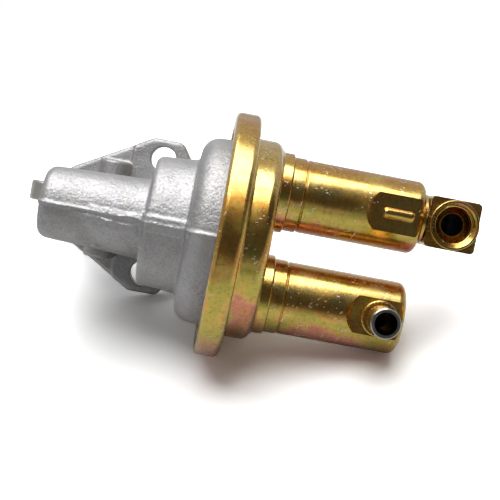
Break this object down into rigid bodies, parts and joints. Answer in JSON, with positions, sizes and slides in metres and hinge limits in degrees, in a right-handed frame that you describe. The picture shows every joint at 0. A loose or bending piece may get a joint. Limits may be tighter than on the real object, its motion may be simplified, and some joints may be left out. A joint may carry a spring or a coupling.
{
  "type": "fuel lift pump",
  "caption": "Mechanical diaphragm fuel lift pump: die-cast body with a rocker arm and a mounting flange, crimped cover, two drawn towers, a hose nipple and a square pipe elbow.",
  "frame": {"origin": "middle of the flange's mounting face, half way between the two bolt holes", "axes": "+X along the pump's axis from the nose to the towers, +Y out of the mounting face into the engine, +Z from the inlet side's bolt hole to the outlet side's"},
  "size_m": [0.1647, 0.1367, 0.0844],
  "materials": {
    "cast_aluminium": "as cast, bright grain",
    "yellow_zinc": "yellow chromated zinc plate",
    "arm_steel": "forged, satin",
    "pin_steel": "ground",
    "spring_steel": "oiled wire",
    "plate_steel": "pressed, bright",
    "seat_brass": "turned",
    "diaphragm_rubber": "fabric-reinforced",
    "seal_rubber": "matt"
  },
  "bodies": {
    "housing": {"body_casting": "cast_aluminium", "cover": "yellow_zinc", "outlet_tower": "yellow_zinc", "inlet_tower": "yellow_zinc", "inlet_nipple": "yellow_zinc", "elbow_ring": "yellow_zinc", "outlet_elbow": "yellow_zinc", "elbow_seat": "seat_brass", "diaphragm": "diaphragm_rubber", "rod_seal": "seal_rubber", "seal_retainer": "plate_steel", "diaphragm_spring": "spring_steel", "rocker_pin": "pin_steel", "pin_plugs": "plate_steel", "rocker_return_spring": "spring_steel", "inlet_valve_seat": "seat_brass", "inlet_valve_spring": "spring_steel", "inlet_valve_cap": "plate_steel", "outlet_valve_seat": "seat_brass", "outlet_valve_spring": "spring_steel", "outlet_valve_cap": "plate_steel"},
    "rocker": {"rocker_arm": "arm_steel"},
    "diaphragm_core": {"pull_rod": "pin_steel", "lower_plate": "plate_steel", "upper_plate": "plate_steel", "rod_washer": "plate_steel"},
    "inlet_disc": {"inlet_valve_disc": "seal_rubber"},
    "outlet_disc": {"outlet_valve_disc": "seal_rubber"}
  },
  "joints": [
    {"name": "rocker_pivot", "type": "hinge", "parent": "housing", "child": "rocker", "pos_m": [-0.017, -0.019, 0], "axis": [0, 0, -1], "range_deg": [0, 7.5], "stiffness_Nm_per_rad": 4.9, "springref_deg": -14.04, "deforming": ["rocker_return_spring"]},
    {"name": "diaphragm_stroke", "type": "slide", "parent": "housing", "child": "diaphragm_core", "axis": [-1, 0, 0], "range_m": [0, 0.00341], "deforming": ["diaphragm", "diaphragm_spring"]},
    {"name": "inlet_valve_lift", "type": "slide", "parent": "housing", "child": "inlet_disc", "axis": [-1, 0, 0], "range_m": [0, 0.0012], "stiffness_N_per_m": 100, "springref_m": -0.001, "deforming": ["inlet_valve_spring"]},
    {"name": "outlet_valve_lift", "type": "slide", "parent": "housing", "child": "outlet_disc", "axis": [1, 0, 0], "range_m": [0, 0.0012], "stiffness_N_per_m": 100, "springref_m": -0.001, "deforming": ["outlet_valve_spring"]}
  ],
  "couplings": [
    {"joint": "diaphragm_stroke", "follows": "rocker_pivot", "m_per_rad": 0.026}
  ]
}
